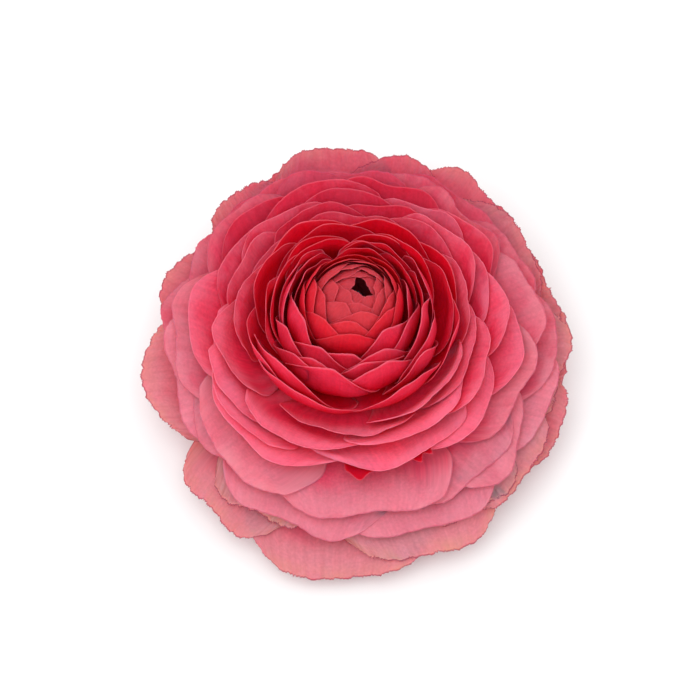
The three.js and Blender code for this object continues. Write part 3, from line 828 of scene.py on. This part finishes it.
# %% Middle petals
MIDDLE_PETALS = [
    (17, 27.5, 23), (315, 28.5, 28), (346, 29, 28), (267, 28.5, 28), (87, 27, 28), (222, 33, 34, -0.2),
    (56, 28.5, 26), (132, 27, 26), (164, 27, 28), (103, 29.5, 26), (74, 30.5, 26), (40, 31, 24),
    (148, 30.5, 26), (26, 33, 24), (303, 32.5, 29), (337, 34, 28), (118, 32, 28), (206, 34.5, 38),
    (188, 31.5, 26), (90, 33.5, 28), (60, 34.5, 26), (11, 36.5, 26), (247, 33, 32, -0.12),
    (143, 34, 26), (290, 35.5, 33), (323, 38, 28), (76, 37.5, 30), (104, 36.5, 28), (232, 38, 34),
    (43, 37, 26), (127, 38.5, 28), (174, 38, 28), (356, 39.5, 26),
]
RED_TIPS = [(273, 39.3, 7, 0.0), (297, 35.5, 5, 0.0), (311, 33.5, 5, 0.0)]
RED_TONE = -0.6
middle_petals = open_petals(
    MIDDLE_PETALS, 28.75, 21, stack_wave=0.2, wave=0.35, lip=0.6, tooth_mm=0.12,
    twist=0.2, curl=0.6, frill=0.1, crumple=0.1)
red_tips = open_petals(
    RED_TIPS, 35.0, 24, stack_wave=0.0, wave=0.1, lip=0.0, tooth_mm=0.1, twist=0.1, curl=0.1)
for tip in red_tips:
    tip.update(tone=RED_TONE, roundness=0.08, squareness=6.0)
middle_petals += red_tips
whorl_piece("middle_petals_fine", middle_petals, 40, 32, middle_tissue, "middle_petals")

# %% [markdown]
# ## Outer whorl
# Broad, flat, mid-pink petals that lie open like plates, with a thin darker line at the margin.
# They are made as the middle ones are. A spiral like the bud's would save the list, but it would
# spread them evenly, and in a real bloom they have opened in groups, with broad ones in front.

# %% Outer petals
OUTER_PETALS = [
    (344, 42, 30), (48, 40.5, 28), (272, 43.5, 40), (92, 41, 33), (180, 41.5, 33), (312, 44, 32),
    (199, 42.5, 34), (75, 42.5, 30), (14, 44, 31), (254, 46.5, 40), (291, 47.5, 36), (339, 47.5, 32),
    (166, 44, 34), (110, 42, 30), (135, 41, 30), (30, 44.5, 30), (226, 42, 34), (58, 45, 30),
    (150, 42.5, 28), (214, 42, 28), (98, 43.5, 32), (0, 47.5, 30), (322, 48, 28), (124, 43, 28),
]
outer_petals = open_petals(
    OUTER_PETALS, 42, 22, stack_wave=0.3, wave=0.5, lip=0.5, tooth_mm=0.24, twist=0.25, curl=0.7,
    frill=0.15, teeth=32.0, crumple=0.13)
whorl_piece("outer_petals_fine", outer_petals, 60, 32, outer_tissue, "outer_petals")

# %% [markdown]
# ## Guard petals
# The oldest petals, lowest and palest. Their margins are torn into fine irregular teeth, less
# than a millimetre apart, and turn tan where they dry.
# Bumps in the finish could shade such teeth, but the outline against the floor would stay smooth.
# So they are cut into the mesh, and the grid is finest across these petals.

# %% Guard petals
GUARD_PETALS = [
    (324, 50, 31), (232, 50.5, 26), (36, 49.5, 31), (19, 50.5, 29), (336, 51, 32), (78, 48.5, 30),
    (356, 50, 29), (292, 52.5, 37), (157, 46.5, 34), (243, 46, 30), (267, 53.5, 41),
    (189, 48.5, 32, 0.0), (54, 52, 34), (95, 51, 32), (124, 49, 26), (111, 49.5, 29), (6, 51, 26),
    (311, 49, 30), (206, 41.5, 26), (142, 44, 27),
]
guard_petals = open_petals(
    GUARD_PETALS, 53, 23, stack_wave=0.35, wave=0.55, lip=0.4, tooth_mm=0.5, twist=0.25, curl=0.6,
    frill=0.2, teeth=52.0, crumple=0.14)
whorl_piece("guard_petals_fine", guard_petals, 128, 18, guard_tissue, "guard_petals")
for whorl in (middle_petals, outer_petals, guard_petals):
    print("outermost layer of", len(whorl), "petals:", max(petal["layer"] for petal in whorl))

# %% [markdown]
# ## Stem stub
# Under the bloom the stem widens into the receptacle, which every petal grows from. It could be a
# curve with a bevel, but its flare and shallow ribs would need more tools than one outline turned
# about the axis, with the ribs as a wave in its radius.

# %% Turning an outline
STEM_RIBS = 11


def ring_faces(rings, sides):
    """Quads between rings of points that follow each other."""
    index = np.arange(rings * sides).reshape(rings, sides)
    after = np.roll(index, -1, axis=1)
    return np.stack([index[:-1], after[:-1], after[1:], index[1:]], -1).reshape(-1, 4)


def plain_values(along, across=0.0):
    """The point values of a piece that isn't a petal."""
    rest = {"across": across, "from_margin": 20.0, "half": 10.0, "tone": 0.5, "young": 0.0}
    return {"along": along, **{k: np.broadcast_to(value, along.shape) for k, value in rest.items()}}


def turned(outline, sides, ribs):
    """A closed surface round the axis from an outline in (r, z) that starts and ends at r = 0."""
    r, z = np.array(outline, float).T
    turn = np.arange(sides) * 2 * math.pi / sides
    wide = r[:, None] * (1 + ribs * np.cos(STEM_RIBS * turn))
    points = np.stack([wide * np.cos(turn), wide * np.sin(turn), np.repeat(z[:, None], sides, 1)], -1)
    length = np.concatenate([[0], np.cumsum(np.hypot(np.diff(r), np.diff(z)))])
    along = np.repeat(length / length[-1], sides)
    across = np.tile(turn / math.pi, len(r))
    return points.reshape(-1, 3), ring_faces(len(r), sides), plain_values(along, across)


print("ribs round the stem:", STEM_RIBS)

# %% [markdown]
# ## Green skin
# Stem and sepals are fresh green tissue, pale where the sepals thin out. It has grown with fine
# streaks, about 0.4 mm apart on a sepal, and a thin waxy skin, which gives it a soft sheen.
# Streaks on an image would have to be unwrapped. Noise stretched along each piece follows it by
# itself.

# %% Finish of the calyx
CALYX_GREENS = ("5c7a34", "8fa552")
CALYX_MARGIN = "d3d3a0"
STREAK_SPACING = 0.4
SEPAL_HALF_BREADTH = 5.6  # about that of the widest place
STREAKS_ALONG = 2.0  # few, so that the streaks are long


def calyx_skin():
    """Green skin with fine streaks along it, paler towards a thin margin."""
    material, tree, shader = new_finish("green_calyx_skin")
    across, along, margin = (
        add(tree, "Attribute", attribute_name=value).outputs["Fac"]
        for value in ("across", "along", "from_margin"))
    fan = add(tree, "Math", values={1: SEPAL_HALF_BREADTH / STREAK_SPACING}, links={0: across},
              operation="MULTIPLY")
    slow = add(tree, "Math", values={1: STREAKS_ALONG}, links={0: along}, operation="MULTIPLY")
    place = add(tree, "CombineXYZ", links={0: fan, 1: slow})
    streaks = add(tree, "TexNoise", values={"Scale": 1.0, "Detail": 3.0}, links={"Vector": place})
    green = add(tree, "ValToRGB", links={"Fac": streaks})
    for stop, position, colour in zip(green.color_ramp.elements, (0.35, 0.7), CALYX_GREENS):
        stop.position, stop.color = position, linear(colour)
    pale = add(tree, "MapRange", links={"Value": margin}, values=limits(0.1, 1.6, 0.8, 0))
    edged = add(tree, "Mix", values={"B": linear(CALYX_MARGIN)}, data_type="RGBA",
                links={"Factor": pale, "A": green})
    relief = add(tree, "Bump", values={"Strength": 0.3, "Distance": 0.15 * MM},
                 links={"Height": streaks})
    fill(shader,
         values={"IOR": 1.4, "Roughness": 0.55, "Subsurface Weight": 0.2,
                 "Subsurface Radius": (0.5, 0.8, 0.3), "Subsurface Scale": 1.0 * MM},
         links={"Base Color": edged.outputs["Result"], "Normal": relief})
    return material


green_skin = calyx_skin()
print("made", green_skin.name)

# %% [markdown]
# ## Stem and sepals
# Five hairy sepals are bent back from the stem as far as the table. They could be flat sheets
# with a bend modifier, but laid as petals are they need nothing new. Their hairs are too fine to
# show from half a metre, and are left out.

# %% Stem, receptacle and sepals
STEM_RADIUS = 3.2
RIB_HEIGHT = 0.03  # share of the radius
RECEPTACLE_TOP = 27.6
SEPAL_COUNT = 5
FIRST_SEPAL = 18  # azimuth in degrees
SEPAL_FORM = {
    "layers": CALYX, "layer": 0, "breadth": 11, "breadth_mm": 11, "claw": 0.5, "roundness": 0.35,
    "squareness": 1.8, "wave": 0.12, "curl": 0.3, "tooth_mm": 0.05,
}
roots = [profile(CUPS, layer, 0.0)[0] for layer in (64, 57, 46, 34, 27, 23, 17, 12)]
roots.append(profile(DOMES, 0, 0.0)[0])
stem_outline = [
    (0, 0.5), (1.2, 0.4), (2.6, 0), (STEM_RADIUS, 0.3), (STEM_RADIUS, 3), (3.4, 5.6), (5.2, 8.2),
    *[tuple(root) for root in roots], (1.2, RECEPTACLE_TOP), (0, RECEPTACLE_TOP),
]
stem_blades = [turned(stem_outline, 88, RIB_HEIGHT)]
for k in range(SEPAL_COUNT):
    look = own_look(np.random.default_rng(k), 0)
    sepal = {**PLAIN_PETAL, **look, **SEPAL_FORM, "azimuth": FIRST_SEPAL + 360 / SEPAL_COUNT * k}
    stem_blades.append(petal_blade(sepal, 24, 20, thick=0.6, thin=0.2))
dressed(mesh_piece("stem_and_sepals_fine", stem_blades), "stem_and_sepals", green_skin)

# %% [markdown]
# ## Carpels in the eye
# The dark spot in the middle is the cone of carpels, a hundred or so tiny beaked ovaries, almost
# black against the red, a darkness that is partly their own colour and partly painted shade of
# the deep eye. Each is a short drop with its beak bent up, and its hard skin has grown
# smooth. Instances of one drop would be lighter, but their beaks wouldn't all bend up, and an
# export leaves instances out. So each drop is built in its own direction. They are packed by the
# golden angle, the rule by which the plant itself sets them.

# %% Carpels
CARPEL_COUNT = 130
CONE_REACH = np.array([3.0, 3.0, 5.0])
CONE_MIDDLE = np.array([0, 0, 33.35])
CARPEL_HALF_WIDTH = 0.62
CARPEL_LENGTH = 1.5
CARPEL_SUNK = 0.6  # how much of its length sits in the cone
BEAK_RISE = 0.5
CARPEL_DARKS_AND_PAINTED_SHADE = ("120c16", "3a2030")


def carpel(way):
    """One beaked drop, pointing along `way` from the cone."""
    steps = np.linspace(0, 1, 6)
    sides = 7
    swell = np.sqrt(np.maximum(0, np.sin(math.pi * (0.08 + 0.92 * steps) ** 0.8)))
    wide = CARPEL_HALF_WIDTH * swell
    wide[-1] = 0.02
    side = np.cross(way, (0, 0, 1.0))
    side /= max(np.linalg.norm(side), 1e-6)
    over = np.cross(side, way)
    turn = np.arange(sides) * 2 * math.pi / sides
    ring = side * np.cos(turn)[:, None] + over * np.sin(turn)[:, None]
    beak = np.array([0, 0, BEAK_RISE]) * steps[:, None] ** 3
    spine = CONE_MIDDLE + way * CONE_REACH + way * (steps[:, None] * CARPEL_LENGTH - CARPEL_SUNK) + beak
    points = (spine[:, None] + ring * wide[:, None, None]).reshape(-1, 3)
    return points, ring_faces(len(steps), sides), plain_values(np.repeat(steps, sides))


def carpel_skin():
    """Smooth near-black skin of an unripe carpel, browner at its beak, its darkness partly painted
    shade.
    """
    material, tree, shader = new_finish("dark_carpel_skin")
    along = add(tree, "Attribute", attribute_name="along").outputs["Fac"]
    dark = add(tree, "ValToRGB", links={"Fac": along})
    for stop, colour in zip(dark.color_ramp.elements, CARPEL_DARKS_AND_PAINTED_SHADE):
        stop.color = linear(colour)
    fill(shader, values={"IOR": 1.4, "Roughness": 0.4}, links={"Base Color": dark})
    return material


carpels = []
for k in range(CARPEL_COUNT):
    height = 1 - 2 * (k + 0.5) / CARPEL_COUNT
    turn = math.radians(k * GOLDEN_ANGLE)
    wide = math.sqrt(1 - height**2)
    carpels.append(carpel(np.array([wide * math.cos(turn), wide * math.sin(turn), height])))
dressed(mesh_piece("carpels_fine", carpels), "carpels", carpel_skin())

# %% [markdown]
# ## Floor
# The bloom lies on white card, a dull sheet of pressed fibres. A curved backdrop is usual in a
# product studio, but the camera looks down so steeply that a plane fills the picture.

# %% Floor
bpy.ops.mesh.primitive_plane_add(size=6)
floor = bpy.context.object
floor.name = "floor"
card, _, card_shader = new_finish("white_card")
fill(card_shader, values={"Base Color": linear("fafafa"), "Roughness": 0.9})
floor.data.materials.append(card)
floor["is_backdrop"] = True
print("floor, m:", [round(x, 2) for x in floor.dimensions])

# %% [markdown]
# ## Light
# Such blooms are photographed in soft, even light, as in a bright room or a tent, so that no petal
# falls into black. A picture of a studio would give that too, with reflections that petals are
# too dull to show, so a plain white surround is enough. One large soft box, high and to the front
# left, adds the gentle shading that tells the petals apart.

# %% Lights
KEY_PLACE = Vector((-0.15, -0.35, 0.85))
KEY_SIZE = 0.8
KEY_WATTS = 4
BLOOM_MIDDLE = Vector((0, 0, 0.03))
scene = bpy.context.scene
world = bpy.data.worlds.new("soft_surround")
scene.world = world
world.use_nodes = True
fill(world.node_tree.nodes["Background"], values={"Color": (1, 1, 1, 1), "Strength": 0.92})
lamp = bpy.data.lights.new("key", "AREA")
lamp.size = KEY_SIZE
lamp.energy = KEY_WATTS
key = bpy.data.objects.new("key", lamp)
key.location = KEY_PLACE
key.rotation_euler = (BLOOM_MIDDLE - KEY_PLACE).to_track_quat("-Z", "Y").to_euler()
scene.collection.objects.link(key)
print("key light at, m:", [round(x, 2) for x in key.location])

# %% [markdown]
# ## Camera
# The eye shows as a hole and the rear petals stand up behind it, so the camera looks down at
# about 58 degrees. It could be placed by eye in the viewport. Worked out from the top of the bud,
# which is half a metre away, it keeps its place when the bloom changes. A long lens fills the
# frame from there, with little perspective.

# %% Camera
CAMERA_ELEVATION = math.radians(58)
CAMERA_DISTANCE = 0.5
FOCAL_LENGTH = 115.2
BUD_HEIGHT = 43.6 * MM
PIXEL_AT_BUD = 0.2233 * MM  # what one pixel of a 700 pixel frame spans there
BUD_ABOVE_MIDDLE = 64  # pixels
BUD_RIGHT_OF_MIDDLE = 2
bud_top = Vector((BLOOM_AXIS.x, BLOOM_AXIS.y, BUD_HEIGHT))
back = Vector((0, -math.cos(CAMERA_ELEVATION), math.sin(CAMERA_ELEVATION)))
up = Vector((0, math.sin(CAMERA_ELEVATION), math.cos(CAMERA_ELEVATION)))
aim = bud_top - (up * BUD_ABOVE_MIDDLE + Vector((1, 0, 0)) * BUD_RIGHT_OF_MIDDLE) * PIXEL_AT_BUD
lens = bpy.data.cameras.new("portrait")
lens.sensor_width = 36
lens.lens = FOCAL_LENGTH
lens.clip_start = 0.01
camera = bpy.data.objects.new("portrait", lens)
camera.location = bud_top + back * CAMERA_DISTANCE
camera.rotation_euler = (aim - camera.location).to_track_quat("-Z", "Y").to_euler()
scene.collection.objects.link(camera)
scene.camera = camera
scene.view_settings.view_transform = "Standard"
print("camera at, mm:", [round(x / MM) for x in camera.location])

# %% [markdown]
# ## Sizes, and the end
# The dressed bloom should fill the same box as the CAD model, so both boxes are printed.

# %% Sizes and finish
visual_low, visual_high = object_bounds()
boxes = {"cad": [list(cad_low), list(cad_high)], "visual": [list(visual_low), list(visual_high)]}
for which, (low, high) in boxes.items():
    print(which, "box, mm:", [round(x / MM, 1) for x in low], [round(x / MM, 1) for x in high])
